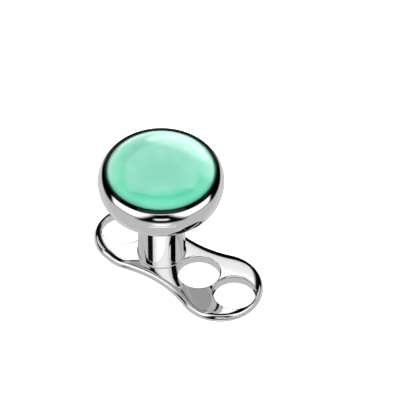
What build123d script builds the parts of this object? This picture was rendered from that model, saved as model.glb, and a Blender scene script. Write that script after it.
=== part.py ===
from build123d import *
import math
import os

# A dermal anchor: a holed base plate with an upright stem, and a cabochon top whose post screws into the stem.
# Millimetres. The origin is on the stem's axis at the underside of the plate. +Z runs up the stem, and +X points
# at the end of the plate that has two holes.

# Base plate, 6.5 mm long, waisted at the stem.
plate_thickness = 0.37
edge_rounding = 0.175
short_tip_x = -1.30
short_tip_radius = 1.27
short_side_x = -1.05
short_side_radius = 1.31
long_end_x = 2.48
long_end_radius = 1.44
waist_radius = 3.82

# Tissue holes, along the plate's length.
hole_radius = 0.71
hole_rim_rounding = 0.035
hole_places = (-1.67, 1.573, 3.083)

# Stem, 14 gauge, with a blind bore for the post.
stem_radius = 0.80
stem_top = 2.99
stem_foot_flare = 0.07
stem_top_rounding = 0.03
bore_radius = 0.62
bore_floor = 1.15
bore_lead_in = 0.03

# Cap: the bezel cup. Its side is two arcs that meet at the widest circle.
cap_radius = 2.10
cap_widest_z = 3.80
cap_underside_z = 3.00
upper_side_radius = 0.83
lower_side_radius = 1.24
underside_rounding = 0.45
lip_outer_rise = 0.56
lip_crest_rise = 0.588
lip_inner_rise = 0.57

# Stone: a round cabochon with a flat back, an upright girdle and a spherical dome.
girdle_radius = 1.86
dome_radius = 2.35
stone_back_z = 3.84
stone_top_z = 5.15
seat_gap = 0.012

# Post under the cap, 1.2 mm nominal. Rings at the thread's pitch stand for the thread.
post_length = 1.50
thread_radius = 0.59
thread_root_radius = 0.47
thread_pitch = 0.25
thread_turns = 4
tip_length = 0.20
tip_radius = 0.36


def at_angle(centre, radius, degrees):
    """Point of a circle at an angle counted from its first axis."""
    turn = math.radians(degrees)
    return (centre[0] + radius * math.cos(turn), centre[1] + radius * math.sin(turn))


def arc(centre, radius, start_degrees, end_degrees):
    """Arc of a circle between two angles."""
    middle = (start_degrees + end_degrees) / 2
    angles = (start_degrees, middle, end_degrees)
    return ThreePointArc(*(at_angle(centre, radius, angle) for angle in angles))


def waist_centre():
    """Centre of the hollow arc that touches the short side's circle and the long end's circle."""
    to_short = short_side_radius + waist_radius
    to_long = long_end_radius + waist_radius
    apart = long_end_x - short_side_x
    along = (to_short**2 - to_long**2 + apart**2) / (2 * apart)
    return (short_side_x + along, math.sqrt(to_short**2 - along**2))


def direction(start, end):
    """Angle in degrees from one point to another."""
    return math.degrees(math.atan2(end[1] - start[1], end[0] - start[0]))


def plate_side():
    """The plate's outline on +Y, from the short tip's arc to the long end's arc."""
    tip = (short_tip_x, 0)
    side = (short_side_x, 0)
    end = (long_end_x, 0)
    waist = waist_centre()
    leave_tip = math.degrees(math.acos((short_tip_radius - short_side_radius) / (short_side_x - short_tip_x)))
    meet_side = direction(side, waist)
    meet_end = direction(end, waist)
    return [
        Line(at_angle(tip, short_tip_radius, leave_tip), at_angle(side, short_side_radius, leave_tip)),
        arc(side, short_side_radius, leave_tip, meet_side),
        arc(waist, waist_radius, meet_side - 180, meet_end - 180),
    ]


def plate_blank():
    """The plate with its long edges rounded, before it is drilled."""
    upper = plate_side()
    lower = [mirror(edge, about=Plane.XZ) for edge in upper]
    tip_start = upper[0] @ 0
    end_start = upper[-1] @ 1
    tip = ThreePointArc(tip_start, (short_tip_x - short_tip_radius, 0), (tip_start.X, -tip_start.Y))
    end = ThreePointArc(end_start, (long_end_x + long_end_radius, 0), (end_start.X, -end_start.Y))
    outline = make_face([*upper, end, *lower, tip])
    blank = extrude(outline, plate_thickness)
    rims = blank.edges().filter_by(lambda edge: edge.bounding_box().size.Z < edge_rounding)
    return fillet(rims, edge_rounding)


def turned(edges):
    """Solid turned about Z from a closed outline drawn as radius and height."""
    return revolve(Plane.XZ * make_face(edges), Axis.Z)


def hole_cutter(place):
    """Drill for one hole, flared at both rims so that they come out rounded."""
    flare = hole_radius + hole_rim_rounding
    lower = (flare, hole_rim_rounding)
    upper = (flare, plate_thickness - hole_rim_rounding)
    beyond = stem_foot_flare
    outline = [
        Line((0, -beyond), (flare, -beyond)),
        Line((flare, -beyond), (flare, 0)),
        arc(lower, hole_rim_rounding, 270, 180),
        Line((hole_radius, lower[1]), (hole_radius, upper[1])),
        arc(upper, hole_rim_rounding, 180, 90),
        Line((flare, plate_thickness), (flare, plate_thickness + beyond)),
        Line((flare, plate_thickness + beyond), (0, plate_thickness + beyond)),
        Line((0, plate_thickness + beyond), (0, -beyond)),
    ]
    return Pos(place, 0, 0) * turned(outline)


def stem_blank():
    """The stem before it is bored, with its flared foot and rounded top edge."""
    foot = stem_radius + stem_foot_flare
    foot_centre = (foot, plate_thickness + stem_foot_flare)
    top_centre = (stem_radius - stem_top_rounding, stem_top - stem_top_rounding)
    sunk = plate_thickness / 2
    outline = [
        Line((0, sunk), (foot, sunk)),
        Line((foot, sunk), (foot, plate_thickness)),
        arc(foot_centre, stem_foot_flare, 270, 180),
        Line((stem_radius, foot_centre[1]), (stem_radius, top_centre[1])),
        arc(top_centre, stem_top_rounding, 0, 90),
        Line((top_centre[0], stem_top), (0, stem_top)),
        Line((0, stem_top), (0, sunk)),
    ]
    return turned(outline)


def bore_cutter():
    """Drill for the blind bore, with a lead-in at its mouth."""
    mouth = bore_radius + bore_lead_in
    outline = Polyline(
        (0, bore_floor),
        (bore_radius, bore_floor),
        (bore_radius, stem_top - bore_lead_in),
        (mouth, stem_top),
        (mouth, stem_top + bore_lead_in),
        (0, stem_top + bore_lead_in),
        close=True,
    )
    return turned(outline.edges())


def anchor_base():
    """Plate and stem in one piece, drilled and bored."""
    blank = plate_blank() + stem_blank()
    for place in hole_places:
        blank -= hole_cutter(place)
    return blank - bore_cutter()


def dome_height(radius, grown=0.0):
    """Height of the dome's surface at a radius, with the dome grown outwards by a gap."""
    return stone_top_z - dome_radius + math.sqrt((dome_radius + grown) ** 2 - radius**2)


def dome_arc(from_radius, to_radius, grown=0.0):
    """Arc of the dome's section between two radii."""
    radii = (from_radius, (from_radius + to_radius) / 2, to_radius)
    return ThreePointArc(*((radius, dome_height(radius, grown)) for radius in radii))


def stone():
    """Cabochon with a flat back."""
    girdle_top = dome_height(girdle_radius)
    outline = [
        Line((0, stone_back_z), (girdle_radius, stone_back_z)),
        Line((girdle_radius, stone_back_z), (girdle_radius, girdle_top)),
        dome_arc(girdle_radius, 0),
        Line((0, stone_top_z), (0, stone_back_z)),
    ]
    return turned(outline)


def post_side():
    """Side of the post from its tip up to the cap's underside, with a ring for each turn of the thread."""
    tip_z = cap_underside_z - post_length
    points = [(thread_root_radius, tip_z + tip_length)]
    first_crest = tip_z + tip_length + thread_pitch / 2
    for turn in range(thread_turns):
        crest_z = first_crest + turn * thread_pitch
        points.append((thread_radius, crest_z))
        points.append((thread_root_radius, crest_z + thread_pitch / 2))
    points.append((thread_root_radius, cap_underside_z))
    lead = ThreePointArc((0, tip_z), at_angle((0, tip_z + tip_radius), tip_radius, -50), points[0])
    rings = [Line(low, high) for low, high in zip(points, points[1:])]
    return [lead, *rings]


def cap_side():
    """Side of the cap from the edge of its flat underside up to the lip's outer edge."""
    lower_centre = (cap_radius - lower_side_radius, cap_widest_z)
    corner_z = cap_underside_z + underside_rounding
    corner_apart = lower_side_radius - underside_rounding
    corner_out = math.sqrt(corner_apart**2 - (cap_widest_z - corner_z) ** 2)
    corner_centre = (lower_centre[0] + corner_out, corner_z)
    meet = direction(lower_centre, corner_centre)
    upper_centre = (cap_radius - upper_side_radius, cap_widest_z)
    lip_angle = math.degrees(math.asin(lip_outer_rise / upper_side_radius))
    return [
        Line((thread_root_radius, cap_underside_z), (corner_centre[0], cap_underside_z)),
        arc(corner_centre, underside_rounding, -90, meet),
        arc(lower_centre, lower_side_radius, meet, 0),
        arc(upper_centre, upper_side_radius, 0, lip_angle),
    ]


def seat_side(lip_outer):
    """Lip and the seat under it, a gap away from the stone, down to the middle of the seat's floor."""
    lip_inner_z = cap_widest_z + lip_inner_rise
    grown = dome_radius + seat_gap
    lip_inner = math.sqrt(grown**2 - (lip_inner_z - stone_top_z + dome_radius) ** 2)
    lip_middle = (lip_outer.X + lip_inner) / 2
    seat_radius = girdle_radius + seat_gap
    seat_floor = stone_back_z - seat_gap
    return [
        ThreePointArc(lip_outer, (lip_middle, cap_widest_z + lip_crest_rise), (lip_inner, lip_inner_z)),
        dome_arc(lip_inner, seat_radius, seat_gap),
        Line((seat_radius, dome_height(seat_radius, seat_gap)), (seat_radius, seat_floor)),
        Line((seat_radius, seat_floor), (0, seat_floor)),
    ]


def setting():
    """Bezel cup and post in one piece."""
    outside = [*post_side(), *cap_side()]
    inside = seat_side(outside[-1] @ 1)
    axis = Line(inside[-1] @ 1, outside[0] @ 0)
    return turned([*outside, *inside, axis])


os.makedirs("parts", exist_ok=True)
pieces = {"anchor_base": anchor_base(), "setting": setting(), "stone": stone()}
for name, piece in pieces.items():
    export_step(piece, f"parts/{name}.step")
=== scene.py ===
from math import acos, asin, atan2, cos, degrees, hypot, pi, radians, sin, sqrt, tan

import bpy
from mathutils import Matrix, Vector


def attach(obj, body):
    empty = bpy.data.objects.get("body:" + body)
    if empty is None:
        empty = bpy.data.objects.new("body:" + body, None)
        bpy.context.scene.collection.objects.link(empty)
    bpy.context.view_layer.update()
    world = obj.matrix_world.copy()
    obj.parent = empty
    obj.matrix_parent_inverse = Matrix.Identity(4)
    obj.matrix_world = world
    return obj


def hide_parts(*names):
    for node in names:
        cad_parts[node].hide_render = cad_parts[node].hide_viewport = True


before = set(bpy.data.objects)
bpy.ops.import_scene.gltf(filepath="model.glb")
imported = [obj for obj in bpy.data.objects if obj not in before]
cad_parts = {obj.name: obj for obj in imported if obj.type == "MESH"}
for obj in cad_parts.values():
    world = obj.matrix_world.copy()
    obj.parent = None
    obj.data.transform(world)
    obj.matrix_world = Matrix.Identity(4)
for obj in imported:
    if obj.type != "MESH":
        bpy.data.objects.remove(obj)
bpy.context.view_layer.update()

# The base of the anchor: a flat, waisted plate with three round holes, which lies under the skin, and an upright
# stem with a blind bore. It is surgical steel, stamped and drilled, with the stem fused on, and mirror polished.
MM = 0.001
plate_thickness = 0.37
# The plate's edge, from the underside to the flat top, as arcs: radius, and the angles where each starts and stops.
edge_arcs = (
    (0.1476, -90, 15),
    (0.50, 15, 30),
    (0.05, 30, 78),
    (0.83, 78, 85),
    (4.0, 85, 87.5),
    (14.0, 87.5, 90),
)
tip_x, tip_radius = -1.30, 1.27
side_x, side_radius = -1.05, 1.31
end_x, end_radius = 2.48, 1.44
waist_radius = 3.82
hole_radius = 0.71
hole_rim = 0.055
hole_places = (-1.67, 1.573, 3.083)
stem_radius = 0.80
stem_top = 2.99
foot_flare = 0.03
stem_rim = 0.03
bore_radius = 0.62
bore_floor = 1.15
bore_lead_in = 0.03
outline_step = 0.03
small_step = 0.01
nearly = 0.001


class Arc:
    """Part of a circle in a drawing, in millimetres. Drawn anticlockwise, its outer side is away from the centre."""

    slack = 0.5  # degrees

    def __init__(self, centre, radius, start, end, spacing=outline_step):
        self.centre, self.radius, self.start, self.end = centre, radius, start, end
        self.side = 1 if end > start else -1
        self.steps = max(3, round(abs(radians(end - start)) * radius / spacing))

    def at(self, share):
        turn = radians(self.start + (self.end - self.start) * share)
        return (self.centre[0] + self.radius * cos(turn), self.centre[1] + self.radius * sin(turn))

    def outward(self, point):
        x, y = point[0] - self.centre[0], point[1] - self.centre[1]
        size = hypot(x, y) or 1
        return (self.side * x / size, self.side * y / size)

    def depth(self, point):
        """How far inside the drawn shape a point is, if the arc faces it."""
        turn = degrees(atan2(point[1] - self.centre[1], point[0] - self.centre[0]))
        low, high = sorted((self.start, self.end))
        turn += 360 * round(((low + high) / 2 - turn) / 360)
        if not low - self.slack <= turn <= high + self.slack:
            return None
        return self.side * (self.radius - hypot(point[0] - self.centre[0], point[1] - self.centre[1]))


class Line:
    """A straight part of a drawing. The drawn shape is on its left."""

    slack = 0.005  # millimetres

    def __init__(self, start, end, steps=1):
        self.start, self.end, self.steps = start, end, steps
        self.length = hypot(end[0] - start[0], end[1] - start[1])
        self.along = ((end[0] - start[0]) / self.length, (end[1] - start[1]) / self.length)

    def at(self, share):
        return tuple(a + (b - a) * share for a, b in zip(self.start, self.end))

    def outward(self, point):
        return (self.along[1], -self.along[0])

    def depth(self, point):
        x, y = point[0] - self.start[0], point[1] - self.start[1]
        if not -self.slack <= x * self.along[0] + y * self.along[1] <= self.length + self.slack:
            return None
        return -(x * self.along[1] - y * self.along[0])


def facing(runs, point):
    """The run of a drawing that a point is nearest to."""
    reached = [(abs(run.depth(point)), number) for number, run in enumerate(runs) if run.depth(point) is not None]
    return runs[min(reached)[1]]


def finished_mesh(name, points, faces, normals):
    """A mesh in metres from points in millimetres, shaded with the exact normals of its surface."""
    mesh = bpy.data.meshes.new(name)
    mesh.from_pydata([[value * MM for value in point] for point in points], [], faces)
    mesh.polygons.foreach_set("use_smooth", [True] * len(faces))
    mesh.normals_split_custom_set(normals)
    mesh.update()
    piece = bpy.data.objects.new(name, mesh)
    bpy.context.scene.collection.objects.link(piece)
    return piece


def turned_piece(name, runs, segments, centre_x=0.0):
    """A piece turned on a lathe: the runs go round its section from the axis, out and back, as radius and height."""
    section = [(*run.at(step / run.steps), run) for run in runs for step in range(run.steps)]
    section.append((*runs[-1].at(1), runs[-1]))
    points, rows = [], []
    for radius, height, _ in section:
        row_start = len(points)
        on_axis = radius < 1e-9
        for turn in range(1 if on_axis else segments):
            angle = 2 * pi * turn / segments
            points.append((centre_x + radius * cos(angle), radius * sin(angle), height))
        rows.append([row_start] * segments if on_axis else list(range(row_start, row_start + segments)))
    faces, normals = [], []
    for number in range(len(section) - 1):
        run = section[number][2]
        out = [run.outward(section[number + end][:2]) for end in (0, 1)]
        for turn in range(segments):
            after = (turn + 1) % segments
            corners = [(0, turn), (0, turn + 1), (1, turn + 1), (1, turn)]
            face = [rows[number][turn], rows[number][after], rows[number + 1][after], rows[number + 1][turn]]
            kept = [number for number in range(4) if face[number] != face[number - 1]]
            faces.append([face[number] for number in kept])
            for end, step in (corners[number] for number in kept):
                angle = 2 * pi * step / segments
                normals.append((out[end][0] * cos(angle), out[end][0] * sin(angle), out[end][1]))
    return finished_mesh(name, points, faces, normals)


tip, side, end = (tip_x, 0), (side_x, 0), (end_x, 0)
to_side, to_end = side_radius + waist_radius, end_radius + waist_radius
along = (to_side**2 - to_end**2 + (end_x - side_x) ** 2) / (2 * (end_x - side_x))
waist = (side_x + along, sqrt(to_side**2 - along**2))
leave_tip = degrees(acos((tip_radius - side_radius) / (side_x - tip_x)))
meet_side = degrees(atan2(waist[1] - side[1], waist[0] - side[0]))
meet_end = degrees(atan2(waist[1] - end[1], waist[0] - end[0]))


def corner_point(centre, radius, angle):
    return (centre[0] + radius * cos(radians(angle)), centre[1] + radius * sin(radians(angle)))


outline = [
    Arc(end, end_radius, -meet_end, meet_end),
    Arc(waist, waist_radius, meet_end - 180, meet_side - 180),
    Arc(side, side_radius, meet_side, leave_tip),
    Line(corner_point(side, side_radius, leave_tip), corner_point(tip, tip_radius, leave_tip), 4),
    Arc(tip, tip_radius, leave_tip, 360 - leave_tip),
    Line(corner_point(tip, tip_radius, -leave_tip), corner_point(side, side_radius, -leave_tip), 4),
    Arc(side, side_radius, -leave_tip, -meet_side),
    Arc((waist[0], -waist[1]), waist_radius, 180 - meet_side, 180 - meet_end),
]
section = []
corner = (-edge_arcs[0][0], 0)
for radius, start, stop in edge_arcs:
    centre = corner_point(corner, radius, start + 180)
    section.append(Arc(centre, radius, start, stop, max(0.012, radius * 0.035)))
    corner = corner_point(centre, radius, stop)
rim = [(run.at(step / run.steps), run) for run in outline for step in range(run.steps)]
points, faces = [], []
edge_points = [part.at(step / part.steps) for part in section for step in range(part.steps)] + [corner]
for beyond, height in edge_points:
    for point, run in rim:
        out = run.outward(point)
        points.append((point[0] + beyond * out[0], point[1] + beyond * out[1], height))
around = len(rim)
last_row = (len(edge_points) - 1) * around
for row in range(0, last_row, around):
    for step in range(around):
        after = (step + 1) % around
        faces.append((row + step, row + after, row + around + after, row + around + step))
faces.append(tuple(reversed(range(around))))
faces.append(tuple(range(last_row, last_row + around)))
plate_mesh = bpy.data.meshes.new("plate_blank")
plate_mesh.from_pydata(points, [], faces)
plate = bpy.data.objects.new("plate_blank", plate_mesh)
bpy.context.scene.collection.objects.link(plate)
for vertex in plate_mesh.vertices:
    vertex.co *= MM

foot = stem_radius + foot_flare
stem_runs = [
    Line((0, plate_thickness / 2), (foot, plate_thickness / 2)),
    Line((foot, plate_thickness / 2), (foot, plate_thickness)),
    Arc((foot, plate_thickness + foot_flare), foot_flare, 270, 180, small_step),
    Line((stem_radius, plate_thickness + foot_flare), (stem_radius, stem_top - stem_rim), 6),
    Arc((stem_radius - stem_rim, stem_top - stem_rim), stem_rim, 0, 90, small_step),
    Line((stem_radius - stem_rim, stem_top), (bore_radius + bore_lead_in, stem_top)),
    Line((bore_radius + bore_lead_in, stem_top), (bore_radius, stem_top - bore_lead_in)),
    Line((bore_radius, stem_top - bore_lead_in), (bore_radius, bore_floor)),
    Line((bore_radius, bore_floor), (0, bore_floor)),
]
cuts = [("UNION", turned_piece("stem_blank", stem_runs, 160))]
flare = hole_radius + hole_rim
hole_runs = [
    Arc((flare, hole_rim), hole_rim, 270, 180, small_step),
    Line((hole_radius, hole_rim), (hole_radius, plate_thickness - hole_rim), 2),
    Arc((flare, plate_thickness - hole_rim), hole_rim, 180, 90, small_step),
]
cutter_top = plate_thickness + hole_rim * 3
cutter_runs = [
    Line((0, -hole_rim), (flare, -hole_rim)),
    Line((flare, -hole_rim), (flare, 0)),
    *hole_runs,
    Line((flare, plate_thickness), (flare, cutter_top)),
    Line((flare, cutter_top), (0, cutter_top)),
]
for hole_x in hole_places:
    cuts.append(("DIFFERENCE", turned_piece("hole_cutter", cutter_runs, 144, hole_x)))
for operation, tool in cuts:
    cut = plate.modifiers.new("cut", "BOOLEAN")
    cut.operation, cut.object, cut.solver = operation, tool, "EXACT"
worked = bpy.data.meshes.new_from_object(plate.evaluated_get(bpy.context.evaluated_depsgraph_get()))
points = [tuple(value / MM for value in vertex.co) for vertex in worked.vertices]
faces = [tuple(polygon.vertices) for polygon in worked.polygons]
for piece in [plate, *[tool for _, tool in cuts]]:
    bpy.data.objects.remove(piece)


def base_normals(corners):
    """Exact normals at the corners of one face of the base, worked out from the surface that it lies on."""
    middle = [sum(point[axis] for point in corners) / len(corners) for axis in range(3)]
    for hole_x in hole_places:
        if all(hypot(point[0] - hole_x, point[1]) < flare + nearly for point in corners):
            run = facing(hole_runs, (hypot(middle[0] - hole_x, middle[1]), middle[2]))
            found = []
            for point in corners:
                radius = hypot(point[0] - hole_x, point[1])
                out = run.outward((radius, point[2]))
                found.append((-out[0] * (point[0] - hole_x) / radius, -out[0] * point[1] / radius, -out[1]))
            return found
    if all(hypot(*point[:2]) < foot + nearly and point[2] > plate_thickness - nearly for point in corners):
        run = facing(stem_runs, (hypot(*middle[:2]), middle[2]))
        found = []
        for point in corners:
            radius = hypot(*point[:2]) or 1
            out = run.outward((radius, point[2]))
            found.append((out[0] * point[0] / radius, out[0] * point[1] / radius, out[1]))
        return found
    if all(point[2] > plate_thickness - 1e-5 for point in corners):
        return [(0, 0, 1)] * len(corners)
    if all(point[2] < 1e-5 for point in corners):
        return [(0, 0, -1)] * len(corners)
    run = facing(outline, middle)
    part = facing(section, (-abs(run.depth(middle)), middle[2]))
    found = []
    for point in corners:
        out = run.outward(point)
        depth = run.depth(point)
        depth = run.depth(middle) if depth is None else depth
        lean = part.outward((-depth, point[2]))
        found.append((out[0] * lean[0], out[1] * lean[0], lean[1]))
    return found


normals = [normal for face in faces for normal in base_normals([points[corner] for corner in face])]
base = finished_mesh("anchor_base_polished", points, faces, normals)


class Shade:
    """A socket of a material's nodes that can stand in a sum. add() makes any other node."""

    def __init__(self, tree, socket=None, node=None):
        self.tree, self.socket, self.node = tree, socket, node

    def add(self, kind, settings=None, sockets=None, out=0):
        node = self.tree.nodes.new(kind)
        for name, value in (settings or {}).items():
            if name == "stops":
                while len(node.color_ramp.elements) < len(value):
                    node.color_ramp.elements.new(0.5)
                for stop, (position, colour) in zip(node.color_ramp.elements, value):
                    stop.position, stop.color = position, colour
            else:
                setattr(node, name, value)
        for name, value in (sockets or {}).items():
            if isinstance(value, Shade):
                self.tree.links.new(value.socket, node.inputs[name])
            else:
                node.inputs[name].default_value = value
        return Shade(self.tree, node.outputs[out] if len(node.outputs) else None, node)

    def sum(self, operation, first, second=0.0):
        return self.add("ShaderNodeMath", {"operation": operation}, {0: first, 1: second})

    def __add__(self, other):
        return self.sum("ADD", self, other)

    def __sub__(self, other):
        return self.sum("SUBTRACT", self, other)

    def __rsub__(self, other):
        return self.sum("SUBTRACT", other, self)

    def __mul__(self, other):
        return self.sum("MULTIPLY", self, other)

    __radd__, __rmul__ = __add__, __mul__

    def between(self, low, high):
        """0 below low, 1 above high and smooth between them."""
        limits = {"Value": self, "From Min": low, "From Max": high}
        return self.add("ShaderNodeMapRange", {"interpolation_type": "SMOOTHSTEP"}, limits)

    def up_to(self, low, high):
        """1 below low, 0 above high and smooth between them."""
        return 1 - self.between(low, high)

    def band(self, rise, fall):
        """1 between two soft edges and 0 outside them."""
        return self.between(*rise) * self.up_to(*fall)

    def towards(self, other, share):
        """This number, or the other one where share is 1."""
        return self.add("ShaderNodeMix", {}, {"Factor": share, "A": self, "B": other})


def new_finish(name, **values):
    """A material with its main shader, whose plain values are set on its own sockets."""
    material = bpy.data.materials.new(name)
    material.use_nodes = True
    tree = material.node_tree
    tree.nodes.clear()
    start = Shade(tree)
    shader = start.add("ShaderNodeBsdfPrincipled", {}, {key.replace("_", " "): value for key, value in values.items()})
    start.add("ShaderNodeOutputMaterial", {}, {"Surface": shader})
    return material, start, shader.node


def join(shade, node, name):
    """Links a varying value to a socket of the main shader."""
    shade.tree.links.new(shade.socket, node.inputs[name])


def object_place(start):
    """Where a point of the piece is: as a vector, and as three numbers in metres."""
    place = start.add("ShaderNodeTexCoord", out="Object")
    parts = start.add("ShaderNodeSeparateXYZ", {}, {0: place}).node.outputs
    return place, [Shade(start.tree, part) for part in parts]


steel_colour = (0.80, 0.80, 0.805, 1)
smear_scale = 1400.0
turned_grain, flat_grain, long_grain = 60000, 50000, 3000


def polished_steel(name, turned):
    """Mirror steel: faint polishing marks, round the axis on turned pieces, and a slightly uneven shine."""
    material, start, shader = new_finish(name, Metallic=1.0, Base_Color=steel_colour, Roughness=0.03)
    place, (x, y, z) = object_place(start)
    if turned:
        radius = start.sum("SQRT", x * x + y * y)
        angle = start.sum("ARCTAN2", y, x)
        grain = {0: radius * turned_grain, 1: z * turned_grain, 2: angle * 3}
    else:
        grain = {0: x * long_grain, 1: y * flat_grain, 2: z * flat_grain}
    grain = start.add("ShaderNodeCombineXYZ", {}, grain)
    marks = start.add("ShaderNodeTexNoise", {}, {"Vector": grain, "Scale": 1.0, "Detail": 3.0}, "Fac")
    smears = start.add("ShaderNodeTexNoise", {}, {"Vector": place, "Scale": smear_scale, "Detail": 2.0}, "Fac")
    join(0.02 + smears * 0.025 + marks * 0.015, shader, "Roughness")
    relief = start.add("ShaderNodeBump", {}, {"Strength": 0.02, "Distance": 2e-6, "Height": marks})
    join(relief, shader, "Normal")
    return material, start, shader


base.data.materials.append(polished_steel("base_steel_polish", turned=False)[0])
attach(base, "base")
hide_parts("anchor_base")

# The setting: a round bezel cup, turned with a threaded post below it that screws into the stem. It is the same
# steel, mirror polished, and its thin lip is burnished over the stone's edge.
cap_radius = 2.10
cap_widest = 3.80
cap_underside = 3.00
upper_round = 0.83
lower_round = 1.24
under_round = 0.45
lip_outer_rise = 0.56
lip_crest = 0.035
lip_turn = 150
stone_radius = 1.86
dome_radius = 2.35
stone_back = 3.84
stone_top = 5.15
seat_gap = 0.012
post_length = 1.50
post_root = 0.47
post_tip = 0.20
post_nose = 0.36
# Near black for the painted shade inside the lip, over the stone's edge.
painted_lip_shade_colour = (0.02, 0.025, 0.023, 1)


def dome_centre():
    return (0, stone_top - dome_radius)


def tinted(colour, tint, share):
    """A colour, or the tint where share is 1."""
    return share.add("ShaderNodeMix", {"data_type": "RGBA"}, {"Factor": share, "A": colour, "B": tint}, 2)


def arc_between(start, middle, end):
    """Arc through three points."""
    (ax, ay), (bx, by), (cx, cy) = start, middle, end
    double = 2 * (ax * (by - cy) + bx * (cy - ay) + cx * (ay - by))
    a2, b2, c2 = ax * ax + ay * ay, bx * bx + by * by, cx * cx + cy * cy
    centre = (
        (a2 * (by - cy) + b2 * (cy - ay) + c2 * (ay - by)) / double,
        (a2 * (cx - bx) + b2 * (ax - cx) + c2 * (bx - ax)) / double,
    )
    first, between, last = (degrees(atan2(y - centre[1], x - centre[0])) for x, y in (start, middle, end))
    between = first + (between - first + 180) % 360 - 180
    last = between + (last - between + 180) % 360 - 180
    return Arc(centre, hypot(ax - centre[0], ay - centre[1]), first, last, small_step)


post_tip_z = cap_underside - post_length
nose_angle = radians(-50)
nose_middle = (post_nose * cos(nose_angle), post_tip_z + post_nose + post_nose * sin(nose_angle))
lower_centre = (cap_radius - lower_round, cap_widest)
corner_z = cap_underside + under_round
corner_x = lower_centre[0] + sqrt((lower_round - under_round) ** 2 - (cap_widest - corner_z) ** 2)
meet = degrees(atan2(corner_z - lower_centre[1], corner_x - lower_centre[0]))
upper_centre = (cap_radius - upper_round, cap_widest)
lip_angle = degrees(asin(lip_outer_rise / upper_round))
lip_outer = corner_point(upper_centre, upper_round, lip_angle)
crest_centre = corner_point(lip_outer, lip_crest, lip_angle + 180)
lip_top = corner_point(crest_centre, lip_crest, lip_turn)
grown = dome_radius + seat_gap
down = (-sin(radians(lip_turn)), cos(radians(lip_turn)))
off = (lip_top[0], lip_top[1] - dome_centre()[1])
ahead = off[0] * down[0] + off[1] * down[1]
fall = -ahead - sqrt(ahead**2 - (off[0] ** 2 + off[1] ** 2 - grown**2))
lip_inner = (lip_top[0] + down[0] * fall, lip_top[1] + down[1] * fall)
seat_radius = stone_radius + seat_gap
seat_floor = stone_back - seat_gap
seat_top = dome_centre()[1] + sqrt(grown**2 - seat_radius**2)
dome_angles = [degrees(asin((z - dome_centre()[1]) / grown)) for z in (lip_inner[1], seat_top)]
setting_runs = [
    arc_between((0, post_tip_z), nose_middle, (post_root, post_tip_z + post_tip)),
    Line((post_root, post_tip_z + post_tip), (post_root, cap_underside), 4),
    Line((post_root, cap_underside), (corner_x, cap_underside), 4),
    Arc((corner_x, corner_z), under_round, -90, meet, 0.02),
    Arc(lower_centre, lower_round, meet, 0, 0.02),
    Arc(upper_centre, upper_round, 0, lip_angle, 0.02),
    Arc(crest_centre, lip_crest, lip_angle, lip_turn, 0.004),
    Line(lip_top, lip_inner),
    Arc(dome_centre(), grown, dome_angles[0], dome_angles[1], 0.03),
    Line((seat_radius, seat_top), (seat_radius, seat_floor)),
    Line((seat_radius, seat_floor), (0, seat_floor)),
]
setting = turned_piece("bezel_cup", setting_runs, 256)
cup_steel, start, shader = polished_steel("setting_steel_polish", turned=True)
x, y, z = (part * 1000 for part in object_place(start)[1])
# Painted shade: a near black band on the inner face of the lip, in the crease over the stone's edge.
painted_lip_shade_mask = start.sum("SQRT", x * x + y * y).up_to(1.945, 1.960) * z.between(4.20, 4.24)
join(tinted(steel_colour, painted_lip_shade_colour, painted_lip_shade_mask), shader, "Base Color")
setting.data.materials.append(cup_steel)
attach(setting, "top")
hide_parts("setting")

# The thread on the post, an M1.2 screw that is cut in the same steel. It turns into the stem's bore, and it is only
# seen when the top is unscrewed.
thread_crest = 0.59
thread_pitch = 0.25
thread_turns = 4
thread_overlap = 0.01
foot_share, crest_share = 0.42, 0.06

thread_tree = bpy.data.node_groups.new("post_thread", "GeometryNodeTree")
thread_tree.is_modifier = True
thread_sizes = {
    "Turns": thread_turns - 0.5,
    "Pitch": thread_pitch * MM,
    "Root radius": (post_root - thread_overlap) * MM,
    "Depth": (thread_crest - post_root + thread_overlap) * MM,
    "Start": (post_tip_z + post_tip + thread_pitch / 2) * MM,
}
for label in thread_sizes:
    thread_tree.interface.new_socket(label, in_out="INPUT", socket_type="NodeSocketFloat")
thread_tree.interface.new_socket("Geometry", in_out="OUTPUT", socket_type="NodeSocketGeometry")
thread = Shade(thread_tree)
given = thread.add("NodeGroupInput").node
size = {label: Shade(thread_tree, given.outputs[label]) for label in thread_sizes}
coil = thread.add(
    "GeometryNodeCurveSpiral",
    {},
    {
        "Resolution": 64,
        "Rotations": size["Turns"],
        "Start Radius": size["Root radius"],
        "End Radius": size["Root radius"],
        "Height": size["Turns"] * size["Pitch"],
    },
)
lift = thread.add("ShaderNodeCombineXYZ", {}, {2: size["Start"]})
coil = thread.add("GeometryNodeTransform", {}, {"Geometry": coil, "Translation": lift})
coil = thread.add("GeometryNodeSetCurveNormal", {"mode": "Z_UP"}, {"Curve": coil})
half_foot, half_crest = size["Pitch"] * foot_share, size["Pitch"] * crest_share
ridge = thread.add(
    "GeometryNodeCurvePrimitiveQuadrilateral",
    {"mode": "POINTS"},
    {
        "Point 1": thread.add("ShaderNodeCombineXYZ", {}, {1: half_foot}),
        "Point 2": thread.add("ShaderNodeCombineXYZ", {}, {0: size["Depth"] * -1.0, 1: half_crest}),
        "Point 3": thread.add("ShaderNodeCombineXYZ", {}, {0: size["Depth"] * -1.0, 1: half_crest * -1.0}),
        "Point 4": thread.add("ShaderNodeCombineXYZ", {}, {1: half_foot * -1.0}),
    },
)
swept = thread.add("GeometryNodeCurveToMesh", {}, {"Curve": coil, "Profile Curve": ridge, "Fill Caps": True})
real = thread.add("GeometryNodeRealizeInstances", {}, {"Geometry": swept})
dressed = thread.add("GeometryNodeSetMaterial", {}, {"Geometry": real, "Material": setting.data.materials[0]})
thread.add("NodeGroupOutput", {}, {"Geometry": dressed})
blank = bpy.data.objects.new("thread_blank", bpy.data.meshes.new("thread_blank"))
bpy.context.scene.collection.objects.link(blank)
cutting = blank.modifiers.new("thread", "NODES")
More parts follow.
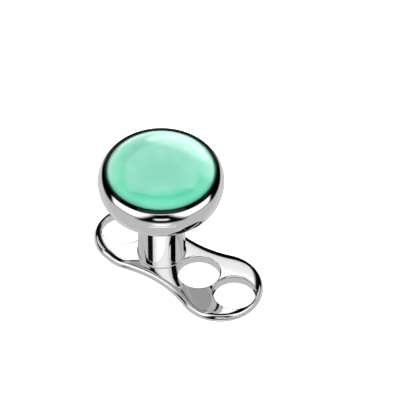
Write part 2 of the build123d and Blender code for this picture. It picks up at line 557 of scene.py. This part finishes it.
cutting.node_group = thread_tree
for item in thread_tree.interface.items_tree:
    if item.in_out == "INPUT":
        cutting[item.identifier] = thread_sizes[item.name]
cut_thread = bpy.data.meshes.new_from_object(blank.evaluated_get(bpy.context.evaluated_depsgraph_get()))
bpy.data.objects.remove(blank)
cut_thread.name = "post_thread"
post_thread = bpy.data.objects.new("post_thread", cut_thread)
bpy.context.scene.collection.objects.link(post_thread)
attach(post_thread, "top")

# The stone: a round cabochon of mint green glass with a flat back. It sits in the cup under the lip. Its colour
# holds painted light: a paler middle as a painted reflection, a deeper crescent of painted shade towards the camera,
# a lighter ring near the edge, and a rim darkened as painted shade under the lip.
girdle_top = dome_centre()[1] + sqrt(dome_radius**2 - stone_radius**2)
girdle_angle = degrees(asin((girdle_top - dome_centre()[1]) / dome_radius))
stone_runs = [
    Line((0, stone_back), (stone_radius, stone_back)),
    Line((stone_radius, stone_back), (stone_radius, girdle_top)),
    Arc(dome_centre(), dome_radius, girdle_angle, 90, 0.03),
]
stone = turned_piece("cabochon", stone_runs, 256)
# The stone's colour from the middle out: its own mint body, then a lighter ring of painted light, then a rim darkened
# to near black as painted shade under the lip.
mint_with_painted_rim_light_and_shade = [
    (0.70, (0.09, 0.58, 0.37, 1)),
    (0.86, (0.15, 0.66, 0.43, 1)),
    (0.93, (0.24, 0.72, 0.50, 1)),
    (0.955, (0.24, 0.70, 0.48, 1)),
    (0.971, (0.08, 0.24, 0.16, 1)),
    (0.985, (0.010, 0.035, 0.025, 1)),
]
# Tints for the painted light on the stone: a painted reflection in the middle, painted shade in the crescent, and a
# painted glow and painted far reflection in the ring.
painted_reflection_mint = (0.115, 0.52, 0.36, 1)
painted_shade_mint = (0.035, 0.56, 0.34, 1)
painted_glow_mint = (0.13, 0.75, 0.48, 1)
painted_far_reflection_mint = (0.27, 0.58, 0.43, 1)
pale_mint = (0.35, 0.72, 0.56, 1)
cloud_scale, streak_scale = 900.0, 2600.0
# Two level directions set by the camera: across the crescent of painted shade, and towards the camera.
crescent_cos, crescent_sin = 0.783, 0.622

mint, start, shader = new_finish("mint_glass", Roughness=0.21, IOR=1.5)
place, parts = object_place(start)
x, y = (part * 1000 for part in parts[:2])
radius = start.sum("SQRT", x * x + y * y) * (1 / stone_radius)
clouds = start.add("ShaderNodeTexNoise", {}, {"Vector": place, "Scale": cloud_scale, "Detail": 3.0}, "Fac") - 0.5
streaks = start.add("ShaderNodeTexNoise", {}, {"Vector": place, "Scale": streak_scale, "Detail": 2.0}, "Fac")
glass = start.add("ShaderNodeValToRGB", {"stops": mint_with_painted_rim_light_and_shade}, {"Fac": radius + clouds * 0.01})
across = x * crescent_cos + y * crescent_sin
along = x * crescent_sin - y * crescent_cos
# Painted shade: a deeper mint crescent on the camera's side, below the edge of the painted reflection; flow bends its
# edge.
flow = across * across * 0.16 + start.sum("SINE", across * 2.4) * 0.06 + clouds * 0.10
painted_shade_crescent = (along + flow).between(1.29, 1.35)
# Painted reflection: a paler, greyer patch over the middle of the dome.
aside, ahead = across + 0.07, along - 0.28
middle = start.sum("SQRT", aside * aside + ahead * ahead).up_to(1.12, 1.27) * (1 - painted_shade_crescent)
# Painted light: a lighter ring near the edge. It is a painted glow on the camera's side and a greyer painted
# reflection on the far side.
painted_light_ring = radius.band((0.80, 0.90), (0.95, 0.972))
glass = tinted(glass, painted_reflection_mint, middle)
glass = tinted(glass, painted_shade_mint, painted_shade_crescent * radius.up_to(0.79, 0.89))
glass = tinted(glass, painted_glow_mint, painted_light_ring * along.between(0.2, 1.3) * 0.6)
glass = tinted(glass, painted_far_reflection_mint, painted_light_ring * along.up_to(-0.9, 0.6) * 0.7)
glass = tinted(glass, pale_mint, streaks.between(0.40, 0.75) * 0.07)
join(glass, shader, "Base Color")
stone.data.materials.append(mint)
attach(stone, "top")
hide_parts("stone")

# The studio: a pale floor, a light tent of white, grey and black cloth round the object, and lamps behind screens for
# the stone alone. In the mirror steel the floor doesn't show. The steel sees through it to the tent's lower half.
view_azimuth = radians(38.45)
view_elevation = radians(47.4)
view_distance = 150
pixels_per_mm = 30.015
floor_reach = 0.6
tent_grey, tent_black = 0.606, 0.002
stripe_white, stripe_fade = 1.3, 0.45


def from_view(start, x, y):
    """Places seen from the camera: how far to its right, how far towards it, and the bearing between them."""
    across = x * cos(view_azimuth) + y * sin(view_azimuth)
    towards = x * sin(view_azimuth) - y * cos(view_azimuth)
    return towards, start.sum("ARCTAN2", across, towards) * degrees(1)


def white_stripe(bearing):
    """How bright the tent's white stripe is, and how much of it there is, at each bearing."""
    return stripe_white - bearing.between(16, 41) * stripe_fade, bearing.up_to(42, 45)


floor_mesh = bpy.data.meshes.new("floor")
floor_corners = [(-1, -1), (1, -1), (1, 1), (-1, 1)]
floor_mesh.from_pydata([(x * floor_reach, y * floor_reach, 0) for x, y in floor_corners], [], [(0, 1, 2, 3)])
floor = bpy.data.objects.new("floor", floor_mesh)
bpy.context.scene.collection.objects.link(floor)
pale, start, shader = new_finish("pale_floor", Base_Color=(0.9, 0.9, 0.9, 1), Roughness=1.0, Emission_Strength=0.9)
shader.inputs["Emission Color"].default_value = (1, 1, 1, 1)
x, y = (part * 1000 for part in object_place(start)[1][:2])
tent_shows = 1
for hole_x in hole_places:
    from_hole = start.sum("SQRT", (x - hole_x) * (x - hole_x) + y * y)
    tent_shows = tent_shows * from_hole.between(hole_radius + 0.03, hole_radius + 0.04)
towards, bearing = from_view(start, x, y)
distance = start.sum("SQRT", x * x + y * y)
below_cap = distance.band((4.3, 4.5), (7.8, 8.2)) * start.sum("ABSOLUTE", bearing).band((18, 22), (75, 80))
tent_shows = tent_shows * (1 - below_cap)
bearing = bearing * start.sum("DIVIDE", distance, distance - 0.4)
striped = (1 - below_cap) * (towards - x.between(2.32, 2.33) * 0.95).between(0.55, 0.60)
striped = striped * bearing.up_to(70, 73) * bearing.between(0, 1)
brightness, share = white_stripe(bearing)
in_holes = (1 - striped) * tent_grey + striped * brightness * share
grey = start.add("ShaderNodeEmission", {}, {"Color": in_holes, "Strength": 1.0})
clear = start.add("ShaderNodeBsdfTransparent")
mirrored = start.add("ShaderNodeMixShader", {}, {0: tent_shows, 1: grey, 2: clear})
glossy = start.add("ShaderNodeLightPath", out="Is Glossy Ray")
seen = start.add("ShaderNodeMixShader", {}, {0: glossy, 1: Shade(start.tree, shader.outputs[0]), 2: mirrored})
join(seen, start.tree.get_output_node("ALL"), "Surface")
floor_mesh.materials.append(pale)

world = bpy.data.worlds.new("light_tent")
world.use_nodes = True
world.node_tree.nodes.clear()
tent = Shade(world.node_tree)
where = tent.add("ShaderNodeTexCoord", out="Generated")
parts = tent.add("ShaderNodeSeparateXYZ", {}, {0: where}).node.outputs
x, y, z = (Shade(tent.tree, part) for part in parts)
bearing = tent.sum("ABSOLUTE", from_view(tent, x, y)[1])
height = tent.sum("ARCSINE", z) * degrees(1)

# White screens on both sides, with black round them.
steep = tent.sum("MAXIMUM", bearing - 62, 0)
screens = (bearing + height * 0.8).between(20, 38) * (bearing - height * 0.4).up_to(82, 92)
screens = screens * (height + steep * 0.35).up_to(15.5, 21) * height.between(-12, -6)
light = screens * 1.4 + tent_black

# The grey lower half, which is lighter at the sides and darker at the back.
lower_back = height.up_to(-20, -12)
lower = height.up_to(-26, -17).towards(height.up_to(-15, -8), bearing.between(30, 48))
light = light.towards(tent_grey, lower.towards(lower_back, bearing.between(80, 92)))
light = light.towards(0.70, bearing.band((90, 120), (150, 168)) * lower_back)
light = light.towards(0.48, bearing.between(150, 168) * lower_back)

# Two bright patches in front, which the cap shows.
light = light.towards(1.0, bearing.up_to(7, 15) * height.band((-10, -6), (-2, 3)))
light = light.towards(1.3, bearing.up_to(5, 22) * height.band((-52, -30), (-29, -23)))

# The upper half behind the object, which the plate shows.
far_light = 0.80 + height.between(38, 46) * 0.25 + height.between(45, 48) * 0.25
light = light.towards(far_light, bearing.between(168.5, 171.5) * height.band((39.8, 41), (62, 68)))
light = light.towards(0.72, bearing.band((74, 80), (128, 136)) * height.band((14, 18), (56, 58)))
light = light.towards(0.72, bearing.band((70, 75), (156, 160)) * height.band((44.6, 45.4), (56, 58)))

# A white stripe between two black ones, low and high in front, which the stem shows.
brightness, share = white_stripe(bearing)
low = height.band((-49.2, -48.9), (-46.9, -46.6))
high = height.band((18, 21), (70, 74))
light = light.towards(tent_black, low * bearing.up_to(70, 72))
light = light.towards(brightness, share * low).towards(brightness, share * high)

rays = tent.add("ShaderNodeLightPath").node.outputs
for kind in ("Is Diffuse Ray", "Is Camera Ray"):
    light = light.towards(1.0, Shade(tent.tree, rays[kind]))
glow = tent.add("ShaderNodeBackground", {}, {"Color": (1, 1, 1, 1), "Strength": light})
tent.add("ShaderNodeOutputWorld", {}, {"Surface": glow})
bpy.context.scene.world = world

stone_only = bpy.data.collections.new("lit_by_screens")
stone_only.objects.link(stone)
stone_middle = Vector((0, 0, 4.9 * MM))
screen_distance = 60 * MM
# Each screen: its name, its bearing from the camera and its elevation, half its width and height, its shape, and its
# brightness. The angles are in degrees.
for label, azimuth, elevation, width, rise, shape, power in (
    ("overhead_screen", 180, 75, 56, 50, "ELLIPSE", 4.0),
    ("bright_window", 163, 9, 28, 19, "ELLIPSE", 3.8),
    ("far_screen", 179, 0, 25, 27, "RECTANGLE", 1.8),
    ("right_screen", 132, 7, 22, 21, "RECTANGLE", 3.2),
    ("left_screen", -131, 5, 24, 21, "RECTANGLE", 1.9),
):
    lamp = bpy.data.lights.new(label, "AREA")
    lamp.shape = shape
    lamp.size, lamp.size_y = (2 * screen_distance * tan(radians(half)) for half in (width, rise))
    area = lamp.size * lamp.size_y * (pi / 4 if shape == "ELLIPSE" else 1)
    lamp.energy = power * pi * area
    screen = bpy.data.objects.new(label, lamp)
    bpy.context.scene.collection.objects.link(screen)
    heading = view_azimuth - pi / 2 + radians(azimuth)
    flat = cos(radians(elevation))
    out = Vector((cos(heading) * flat, sin(heading) * flat, sin(radians(elevation))))
    screen.location = stone_middle + out * screen_distance
    screen.rotation_mode = "QUATERNION"
    screen.rotation_quaternion = out.to_track_quat("Z", "Y")
    screen.visible_camera = screen.visible_diffuse = screen.visible_transmission = False
    screen.light_linking.receiver_collection = stone_only

sensor_width = 36
picture_width = 400
picture_shift = (38.68, 6.975)
target = Vector((0, 0, 2.5 * MM))
right = Vector((cos(view_azimuth), sin(view_azimuth), 0))
level = Vector((sin(view_azimuth), -cos(view_azimuth), 0))
back = level * cos(view_elevation) + Vector((0, 0, sin(view_elevation)))
upward = back.cross(right)
picture_centre = target + (right * picture_shift[0] + upward * picture_shift[1]) * (MM / pixels_per_mm)
camera = bpy.data.objects.new("camera", bpy.data.cameras.new("camera"))
bpy.context.scene.collection.objects.link(camera)
camera.location = target + back * view_distance * MM
camera.rotation_mode = "QUATERNION"
camera.rotation_quaternion = (camera.location - picture_centre).to_track_quat("Z", "Y")
camera.data.sensor_width = sensor_width
camera.data.lens = sensor_width * pixels_per_mm * view_distance / picture_width
camera.data.clip_start, camera.data.clip_end = 0.001, 10
bpy.context.scene.camera = camera
bpy.context.scene.view_settings.view_transform = "Standard"
